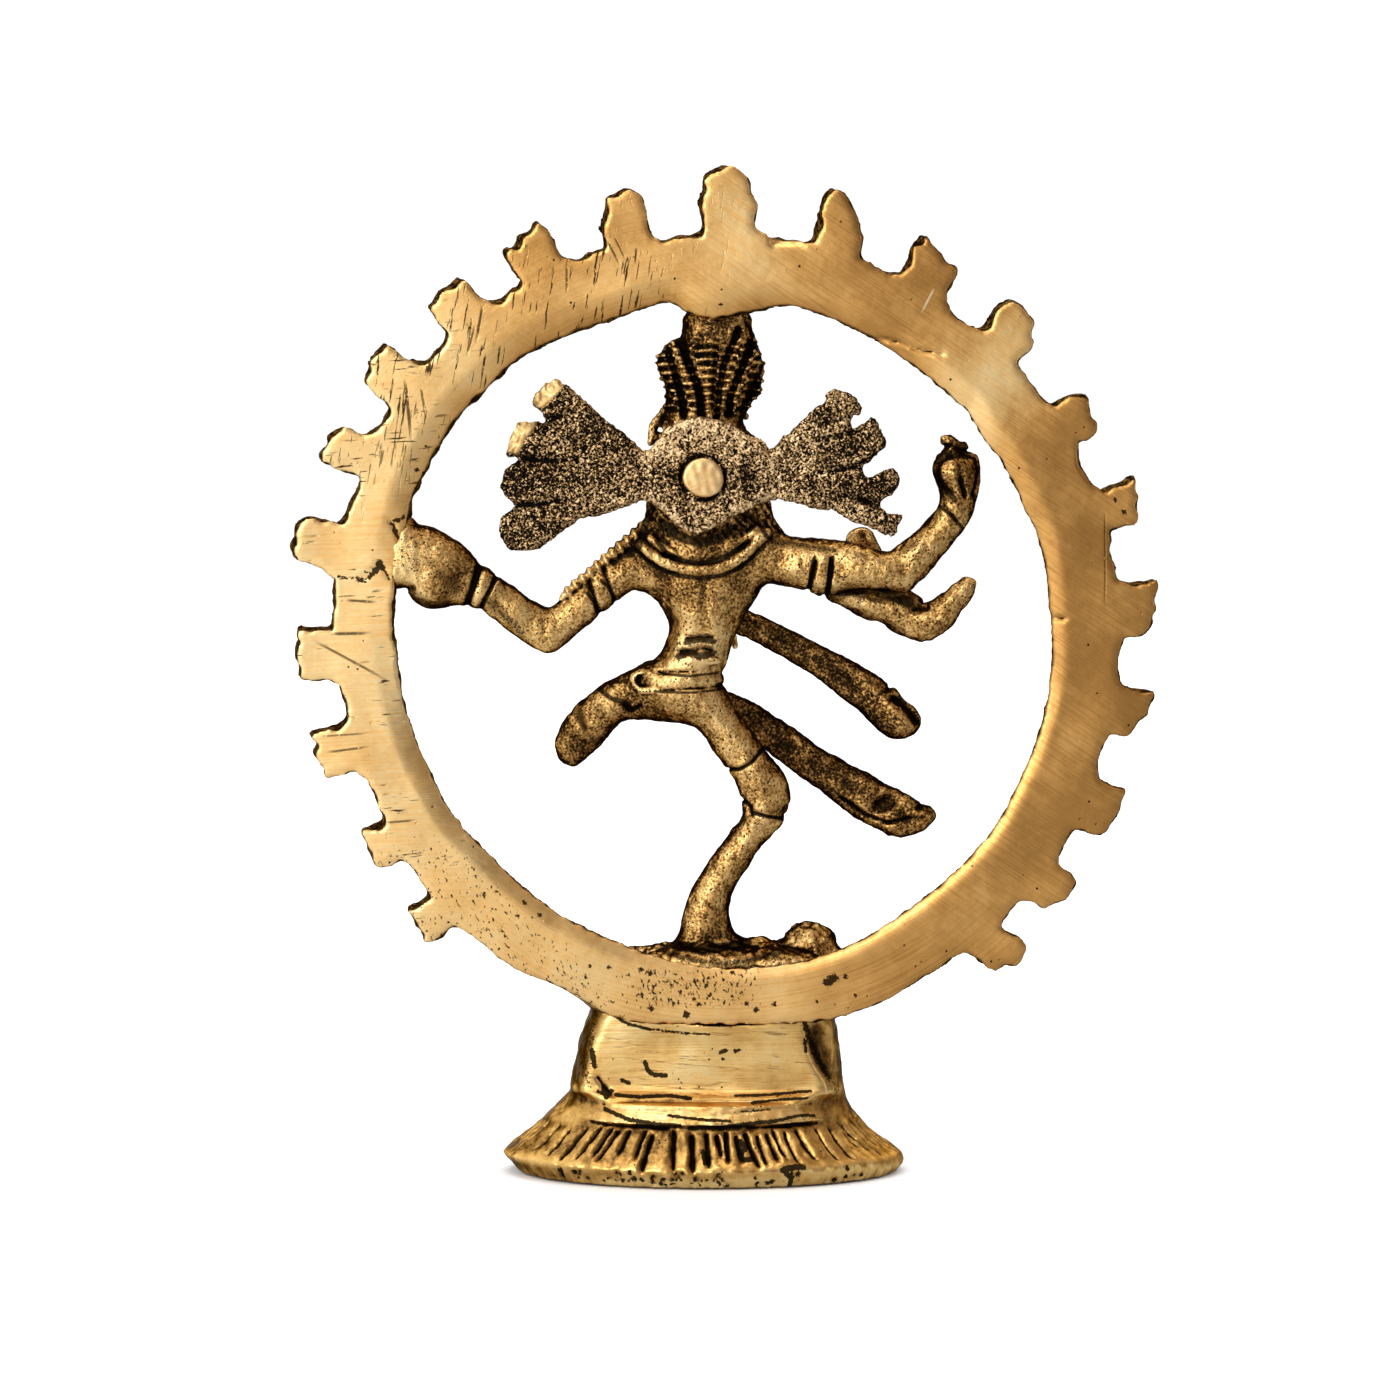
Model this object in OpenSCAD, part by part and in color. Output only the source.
// Cast brass dancer in a ring of flames, on a hollow lotus pedestal.
// Frame: millimetres, +Z up. The origin is on the table, midway between the ring's two sides.
// The filed back of the ring faces -Y, and the dancer faces +Y.
// The ring, the pedestal, the dancer and the hair fan are separate castings. The ring is brazed to
// the pedestal, to the crown and to one hand, and the fan is riveted to the back of the head.

/* [Ring] */
// Radius of the round opening
ring_in_r = 43.3; // [42.5:0.1:44]
// Radius of the plain band, between the flame tongues
ring_band_r = 51.2; // [50:0.1:52]
// Height of the middle of the ring
ring_z = 71.6; // [71:0.1:72]
// Thickness of the ring casting
ring_t = 4.0; // [3.5:0.1:4.5]
// Depth of the filed slope on the inner edge of the back
ring_slope = 0.9; // [0.5:0.1:1.2]

/* [Pedestal] */
// Half width of the lotus foot
foot_hw = 26.7; // [25:0.1:28]
// Depth of every oval section, as a share of its width
oval = 0.64; // [0.6:0.01:0.7]
// Wall thickness of the hollow casting
wall = 3.0; // [2.5:0.1:3.5]
// Height of the top plate
deck_z = 27.6; // [27.4:0.1:27.8]

/* [Hair fan] */
// Thickness of the fan casting
fan_t = 1.7; // [1.2:0.1:2]
// Radius of the rivet shank and of its holes
shank_r = 1.5; // [1.2:0.1:1.8]
// Radius of the hammered rivet head
rivet_r = 2.6; // [2.2:0.1:3]
// Depth of the blind hole in the head
rivet_depth = 5.0; // [4:0.5:6]

/* [Hidden] */

ring_back = -9.2;                 // plane of the filed back of the ring
ring_front = ring_back + ring_t;
ped_x = -2.3;                     // the hand-made pedestal sits a little to one side
neck_flat = -8.6;                 // the back of the neck is filed flat
fan_seat = -7.0;                  // plane where the fan lies on the back of the head
rivet_x = -2.8;
rivet_z = 92.0;
dwarf_z = 28.9;

// Flame tongues, no two alike: [angle, tip radius, half width], anticlockwise seen from the back.
tongues = [[-48, 57.2, 3.1], [-37, 56, 2.9], [-24, 56, 3.2], [-10, 56, 3.2], [5, 56.9, 3.4],
           [18, 57, 2.9], [31, 56, 3.0], [47, 57.5, 3.2], [61, 58, 3.1], [76, 59.5, 2.9],
           [90, 61, 3.6], [103, 59, 3.2], [117, 59, 3.4], [130, 58, 3.5], [142, 58.5, 3.5],
           [155, 57.5, 3.0], [168, 57.4, 3.1], [183, 56.9, 3.4], [196, 56, 3.1], [211, 55, 2.9], [223, 56, 3.1]];
// One worn three-lobed tongue: across in half widths, outward in heights.
lobes = [[1.25, -0.06], [1.0, 0.08], [0.96, 0.4], [1.06, 0.62], [0.86, 0.84], [0.56, 0.84], [0.4, 0.98], [0, 1.0],
         [-0.4, 0.98], [-0.56, 0.84], [-0.86, 0.84], [-1.06, 0.62], [-0.96, 0.4], [-1.0, 0.08], [-1.25, -0.06]];

// Pedestal sections: [height, half width] up the outside.
foot = [[-1, foot_hw - 1.6], [0.6, foot_hw], [1.8, foot_hw - 0.3], [7.6, 19.4], [8.2, 18.9], [8.8, 19.3],
        [10.4, 18.9], [11.2, 17.7], [15, 16.9], [21.5, 15.8], [24, 17.4], [26.2, 21.6], [deck_z + 1, 21.8]];

// Limbs: each row is a ball [x, y, z, radius], and the limb runs from ball to ball.
leg = [[-2.2, -1.8, 64.0, 3.9], [-1.4, -1.8, 61.8, 3.9], [3.0, -2, 55.6, 3.4], [5.4, -2, 50.4, 3.1],
       [5.3, -2, 48.6, 2.9], [1.4, -1.7, 42.6, 2.7], [-1.6, -1.5, 36.9, 2.9], [-2.5, -1.5, 32.6, 3.1]];
sole = [[-2.5, -1.5, 32.6, 3.1], [-2.2, 1.5, 32.0, 2.6], [-1.8, 5.5, 31.5, 1.9]];
lifted_leg = [[-5.6, -1, 64.0, 3.3], [-13.8, 0, 62.2, 2.8], [-17.8, 1.2, 58.6, 2.6], [-20.3, 3.2, 55.7, 2.2],
              [-13.3, 7.0, 61.0, 2.1], [-4.6, 8.0, 61.4, 2.1], [1.4, 8.0, 60.7, 2.1], [6.5, 8.0, 57.0, 2.3],
              [13.4, 7.4, 51.5, 2.6], [21.2, 6.4, 47.2, 2.6], [26.9, 6.0, 46.7, 1.5]];
rear_left = [[-8.6, -2, 80.8, 2.7], [-16.2, -2.5, 76.2, 2.5], [-23.8, -3, 71.5, 2.6], [-32.0, -5, 77.8, 2.5]];
rear_left_hand = [[-32.0, -5, 77.8, 2.5], [-37.4, -5.9, 80.0, 4.3], [-46.0, -7.0, 81.2, 4.6]];
rear_right = [[3.6, -2, 81.1, 2.8], [12.0, -2.8, 79.9, 3.0], [21.6, -3.4, 78.9, 2.9], [28.7, -3, 86.0, 2.5],
              [30.4, -2.5, 91.2, 3.2], [30.4, 0.4, 93.2, 1.6]];
front_right = [[3.4, 0.4, 79.4, 2.6], [14.0, 0.7, 76.2, 2.7], [24.4, 1.0, 72.4, 2.5], [19.6, 8.0, 77.6, 2.1],
               [18.9, 9.0, 81.0, 2.2], [18.6, 9.2, 83.9, 1.6]];
snake = [[25.0, 0.6, 71.6, 2.3], [29.0, -0.4, 74.0, 1.9], [31.6, -0.5, 76.9, 1.3], [32.3, -0.2, 78.3, 0.9]];
front_left = [[-8.6, 1.4, 79.4, 2.5], [-3.2, 6.0, 75.4, 2.3], [2.7, 7.2, 72.2, 1.9], [14.0, 7.0, 66.4, 2.1],
              [18.7, 6.4, 62.8, 2.6], [23.6, 5.6, 59.3, 2.8], [24.6, 5.4, 57.6, 1.6]];
strand = [[-9.6, -1.4, 84.2, 1.3], [-14.4, -1.8, 80.6, 1.2], [-18.2, -2.2, 77.6, 1.1], [-20.8, -2.6, 75.4, 0.9]];
// Three tight folds of cord round the hips, and the knot they end in.
belt = [[-3.0, 69.0, 4.9], [-3.3, 67.8, 5.3], [-3.6, 66.4, 6.0]];

module ball(p, n = 16) translate([p[0], p[1], p[2]]) sphere(r = p[3], $fn = n);

// A limb is a chain of tapered, round-ended lengths.
module limb(rows, n = 16) {
    for (i = [0 : len(rows) - 2]) hull() { ball(rows[i], n); ball(rows[i + 1], n); }
}

// A cord laid round the body, in a plane that may tip forward.
module loop(c, rx, ry, r, tip = 0, steps = 18) {
    translate(c) rotate([tip, 0, 0])
        for (i = [0 : steps - 1]) hull() for (k = [i, i + 1])
            translate([rx * cos(k * 360 / steps), ry * sin(k * 360 / steps), 0]) sphere(r = r, $fn = 8);
}

module ring_axis(h, r, y0) translate([0, y0, ring_z]) rotate([-90, 0, 0]) cylinder(h = h, r = r, $fn = 96);

function turn(p, a) = [p[0] * sin(a) + p[1] * cos(a), -p[0] * cos(a) + p[1] * sin(a)];
function tongue(t) = [for (q = lobes) turn([q[0] * t[2], ring_band_r + q[1] * (t[1] - ring_band_r)], t[0])];
function rim(a0, a1) = [for (k = [0.2, 0.5, 0.8]) let (a = a0 + (a1 - a0) * k) ring_band_r * [cos(a), sin(a)]];
function margin(i) = asin(1.25 * tongues[i][2] / ring_band_r);
function outline() = [for (i = [0 : len(tongues) - 1]) let (j = (i + 1) % len(tongues), w = j == 0 ? 360 : 0)
    for (q = concat(tongue(tongues[i]), rim(tongues[i][0] + margin(i), tongues[j][0] + w - margin(j)))) q];

module flame_ring() color([0.83, 0.66, 0.36])
    difference() {
        translate([0, ring_front, ring_z]) rotate([90, 0, 0]) linear_extrude(height = ring_t) polygon(outline());
        difference() {
            union() {
                ring_axis(ring_t + 2, ring_in_r, ring_back - 1);
                translate([0, ring_back - 0.01, ring_z]) rotate([-90, 0, 0])
                    cylinder(h = ring_slope, r1 = ring_in_r + 3.2, r2 = ring_in_r, $fn = 96);
            }
            // the lobe left on the inner edge, where the crown is joined
            translate([0.3, ring_back + 0.6, ring_z + ring_in_r + 1.4]) rotate([-90, 0, 0])
                cylinder(h = ring_t - 0.6, r = 3.4, $fn = 48);
        }
    }

// The pedestal is oval in plan. It is open below and cast with a thick wall.
module pedestal_outside() translate([ped_x, 0, 0]) scale([1, oval, 1]) rotate_extrude($fn = 96)
    polygon(concat([[0, -1]], [for (q = foot) [q[1], q[0]]], [[0, deck_z + 1]]));
module pedestal_hollow() {
    translate([ped_x, 0, 0]) scale([1, oval, 1]) rotate_extrude($fn = 72)
        polygon([[0, -2], [foot_hw - wall + 1, -2], [foot_hw - wall, 0.6], [17.6 - wall, 6.6], [0, 6.6]]);
    translate([ped_x, 0.8, 6]) scale([1, 0.52, 1]) cylinder(h = 12, r1 = 16.6 - wall, r2 = 15.2 - wall, $fn = 72);
}
module pedestal() color([0.78, 0.60, 0.30])
    difference() {
        pedestal_outside();
        // the filed flat on the back of the neck
        translate([-60, neck_flat - 30, 8.8]) cube([120, 30, 60]);
        // the seat for the ring
        ring_axis(40, ring_band_r, ring_front - 40);
        translate([-60, ring_front - 40, ring_z - 46]) cube([120, 40, 60]);
        pedestal_hollow();
        // the flat rim that stands on the table, and the flat top plate
        translate([-60, -60, -20]) cube([120, 120, 20]);
        translate([-60, -60, deck_z]) cube([120, 120, 20]);
    }

module dwarf_solid() {
    limb([[-10.5, 1.0, dwarf_z - 0.2, 1.8], [-5, 1.0, dwarf_z, 2.4], [5, 1.0, dwarf_z, 2.6], [11.2, 0.4, dwarf_z + 0.8, 2.2]], 18);
    ball([11.2, 0.4, dwarf_z + 0.8, 3.0], 20);
    limb([[3, 3.0, dwarf_z, 1.8], [7, 5.6, dwarf_z - 0.2, 1.3], [11, 5.2, dwarf_z - 0.2, 1.2]]);
    limb([[-9, 1.0, dwarf_z, 1.7], [-12, 4.0, dwarf_z - 0.2, 1.5], [-7.5, 6.4, dwarf_z - 0.2, 1.2]]);
    limb([[5, -1.0, dwarf_z, 1.6], [2, -2.6, dwarf_z - 0.3, 1.2]]);
}
module dwarf() color([0.60, 0.44, 0.20])
    difference() { dwarf_solid(); translate([-50, -50, deck_z - 50]) cube([100, 100, 50]); }

module torso_solid() {
    hull() { ball([-6.0, -1.9, 79.2, 4.1], 18); ball([0.8, -1.9, 79.2, 4.1], 18); ball([-2.6, -1.8, 75.2, 4.8], 18); }
    hull() { ball([-2.6, -1.8, 75.2, 4.8], 18); ball([-2.8, -1.8, 70.8, 4.4], 18); }
    hull() { ball([-2.8, -1.8, 70.8, 4.4], 18); ball([-5.2, -1.6, 65.4, 4.2], 18); ball([-1.9, -1.8, 65.6, 4.3], 18); }
    hull() { ball([-2.5, -1.6, 79.4, 4.4], 18); ball([-2.4, -1.4, 84.0, 3.3], 18); }
    limb([[-4.6, -1.9, 79.6, 3.6], [-8.6, -2, 80.8, 3.0]], 18);
    limb([[-0.6, -1.9, 79.6, 3.6], [3.6, -2, 81.1, 3.1]], 18);
    limb([[-4.6, 0, 79.0, 3.2], [-8.6, 1.4, 79.4, 2.8]], 18);
    limb([[-0.6, 0, 79.0, 3.2], [3.4, 0.4, 79.4, 2.9]], 18);
}
module head_solid() {
    translate([-2.3, -0.8, 91.2]) scale([6.1, 5.6, 7.4]) sphere(r = 1, $fn = 28);
    translate([rivet_x, fan_seat, rivet_z]) rotate([-90, 0, 0]) cylinder(h = 6, r = 4.4, $fn = 40);
}
module standing_solid() { limb(leg, 18); limb(sole, 18); }

module standing_leg() color([0.70, 0.52, 0.25])
    difference() { standing_solid(); torso_solid(); dwarf_solid(); }
module raised_leg() color([0.55, 0.40, 0.19])
    difference() { limb(lifted_leg); torso_solid(); standing_solid(); }
module torso() color([0.72, 0.54, 0.26]) difference() { torso_solid(); head_solid(); }

module belt_solid() {
    for (b = belt) loop([b[0], -1.8, b[1]], b[2], 4.9, 0.85);
    translate([-9.4, -3.0, 66.0]) rotate([90, 0, 0]) cylinder(h = 2.6, r = 1.9, $fn = 20);
}
module waist_belt() color([0.62, 0.46, 0.22])
    difference() { belt_solid(); torso_solid(); limb(lifted_leg); standing_solid(); }
module necklace_solid() {
    loop([-2.4, -1.5, 84.0], 4.2, 4.2, 0.8, 8);
    loop([-2.4, -1.5, 83.0], 5.4, 4.8, 0.9, 12);
}
module necklace() color([0.62, 0.46, 0.22])
    difference() { necklace_solid(); torso_solid(); head_solid(); limb(strand, 12); }

module head() color([0.56, 0.41, 0.19])
    difference() {
        head_solid();
        translate([rivet_x, fan_seat - 0.1, rivet_z]) rotate([-90, 0, 0])
            cylinder(h = rivet_depth + 0.1, r = shank_r, $fn = 32);
    }

// Matted hair piled up, with its top brazed to the ring.
module crown() color([0.52, 0.38, 0.18])
    difference() {
        translate([-2.0, -1.5, 96.2]) scale([1, 0.72, 1]) rotate_extrude($fn = 40)
            polygon([[0, 0], [5.4, 0.2], [5.1, 4.4], [5.8, 7.4], [7.0, 11.0], [6.6, 13.4], [5.2, 15.8], [4.4, 17.4],
                     [4.4, 20.4], [0, 20.4]]);
        head_solid();
        translate([-20, ring_front - 10, ring_z + 38]) cube([40, 10, 12]);
    }

// Flying locks of hair round a centre plate, one flat casting with a hole for the rivet.
wing_left = [[0, 5], [-7, 3.5], [-19.5, 12.5], [-22, 10], [-20.5, 7.5], [-24, 7.5], [-25.5, 3.5], [-24, 2.5],
             [-26, 1], [-25.5, -1.5], [-23.5, -3.5], [-26, -4], [-26.5, -6.5], [-26, -8.5], [-24, -9.5],
             [-21, -9], [-16, -5], [-9, -3.5], [-7, -3], [0, -5]];
wing_right = [[0, -5], [9, -3], [15, -4], [18.5, -5.5], [24.5, -7.5], [26, -4.5], [23, -4], [24, -2.5], [25.5, -0.5],
              [24.5, 1], [21, 1], [24, 5], [22.5, 7.5], [19.5, 7], [20.5, 9], [20, 11], [17, 11.5], [16, 10],
              [8.5, 3.5], [0, 5]];
module hair_fan() color([0.40, 0.31, 0.18])
    translate([rivet_x, fan_seat, rivet_z]) rotate([90, 0, 0]) linear_extrude(height = fan_t)
        difference() {
            union() {
                translate([0.4, 0.1]) circle(r = 7.6, $fn = 64);
                polygon([[-3.5, -5.5], [-1.5, -7], [0.2, -7], [4.5, -5], [0, 2]]);
                polygon(wing_left);
                polygon(wing_right);
            }
            circle(r = shank_r, $fn = 32);
        }

module fan_rivet() color([0.88, 0.70, 0.42])
    translate([rivet_x, fan_seat, rivet_z]) rotate([90, 0, 0]) rotate_extrude($fn = 48)
        polygon([[0, -rivet_depth], [shank_r, -rivet_depth], [shank_r, fan_t], [rivet_r, fan_t], [rivet_r, fan_t + 0.5],
                 [rivet_r - 0.5, fan_t + 0.9], [0, fan_t + 1.1]]);

module rear_left_solid() {
    difference() {
        union() { limb(rear_left); limb(rear_left_hand, 20); }
        difference() { ring_axis(40, 80, -25); ring_axis(42, ring_in_r, -26); }
    }
}
module rear_left_arm() color([0.70, 0.52, 0.25]) difference() { rear_left_solid(); torso_solid(); }
module rear_right_arm() color([0.68, 0.50, 0.24]) difference() { limb(rear_right, 18); torso_solid(); }
// A small hourglass drum, held upright between thumb and finger with one end standing above the fist.
module drum() color([0.45, 0.33, 0.16])
    difference() {
        translate([29.6, -2.4, 96.6]) rotate([0, 128, 82]) rotate_extrude($fn = 32)
            polygon([[0, 0], [1.7, 0], [1.7, 0.6], [0.9, 3.4], [0.9, 4.0], [1.7, 6.8], [1.7, 7.4], [0, 7.4]]);
        limb(rear_right, 18);
    }
module front_right_arm() color([0.66, 0.48, 0.23]) difference() { limb(front_right); torso_solid(); limb(rear_right, 18); }
module cobra() color([0.66, 0.48, 0.23]) difference() { limb(snake); limb(front_right); }
module front_left_arm() color([0.50, 0.36, 0.17])
    difference() { limb(front_left); torso_solid(); limb(front_right); limb(rear_left); }
module shoulder_strand() color([0.60, 0.44, 0.21])
    difference() { limb(strand, 12); torso_solid(); head_solid(); limb(rear_left); limb(front_left); }

pedestal();
flame_ring();
dwarf();
standing_leg();
raised_leg();
torso();
waist_belt();
necklace();
head();
crown();
hair_fan();
fan_rivet();
rear_left_arm();
rear_right_arm();
drum();
front_left_arm();
front_right_arm();
cobra();
shoulder_strand();
